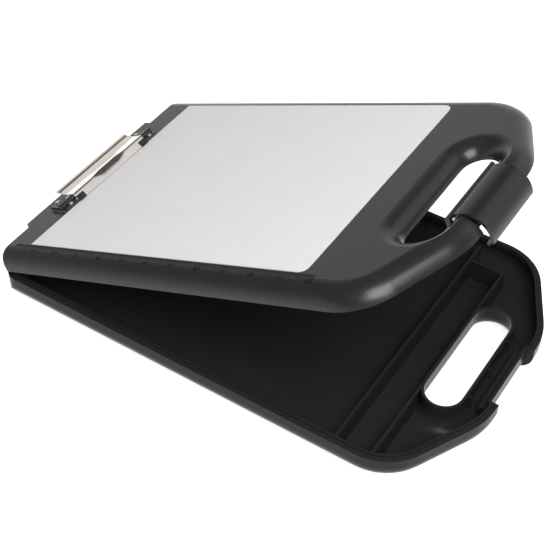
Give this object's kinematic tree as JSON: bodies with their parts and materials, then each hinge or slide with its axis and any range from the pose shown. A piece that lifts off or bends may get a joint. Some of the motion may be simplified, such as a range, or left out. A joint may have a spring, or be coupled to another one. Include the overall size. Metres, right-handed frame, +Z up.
{
  "type": "storage clipboard box",
  "caption": "Shallow storage tray with a hinged clipboard lid, a spring clip for paper, a pen channel, a carrying handle end and a swinging latch.",
  "frame": {"origin": "centre of the tray's footprint, on the surface that the tray rests on", "axes": "+X from the hinge to the handle end, +Y to the back (away from the ruled side), +Z up"},
  "size_m": [0.4131, 0.256, 0.1918],
  "materials": {
    "tray_plastic": "moulded black plastic, semi-gloss inside",
    "lid_plastic": "fine satin texture, warm dark grey",
    "latch_plastic": "fine satin texture, warm dark grey",
    "clip_chrome": "bright plated sheet steel",
    "steel": "drawn steel wire and rod",
    "bracket_metal": "black enamel",
    "grip_rubber": "matt black rubber",
    "paper": "plain white paper"
  },
  "bodies": {
    "case": {"tray": "tray_plastic", "hinge_rod": "steel"},
    "lid": {"lid_shell": "lid_plastic", "latch_pin": "steel", "clip_plate": "clip_chrome", "clip_bracket_near": "bracket_metal", "clip_bracket_far": "bracket_metal", "clip_rivets_near": "clip_chrome", "clip_rivets_far": "clip_chrome", "clip_pivot_rod": "steel", "clip_spring_near": "steel", "clip_spring_far": "steel", "paper_sheets": "paper"},
    "latch": {"latch_shell": "latch_plastic"},
    "jaw": {"clip_jaw": "clip_chrome", "jaw_grip_near": "grip_rubber", "jaw_grip_far": "grip_rubber"}
  },
  "joints": [
    {"name": "lid_hinge", "type": "hinge", "parent": "case", "child": "lid", "pos_m": [-0.2047, 0, 0.024], "axis": [0, -1, 0], "range_deg": [-23, 90]},
    {"name": "latch_hinge", "type": "hinge", "parent": "lid", "child": "latch", "pos_m": [0.14588, 0, 0.1852], "axis": [0, -1, 0], "range_deg": [-18, 42]},
    {"name": "jaw_hinge", "type": "hinge", "parent": "lid", "child": "jaw", "pos_m": [-0.19062, 0, 0.04942], "axis": [0, -1, 0], "range_deg": [0, 18], "stiffness_Nm_per_rad": 0.3, "springref_deg": -20.05, "deforming": ["clip_spring_near", "clip_spring_far"]}
  ]
}
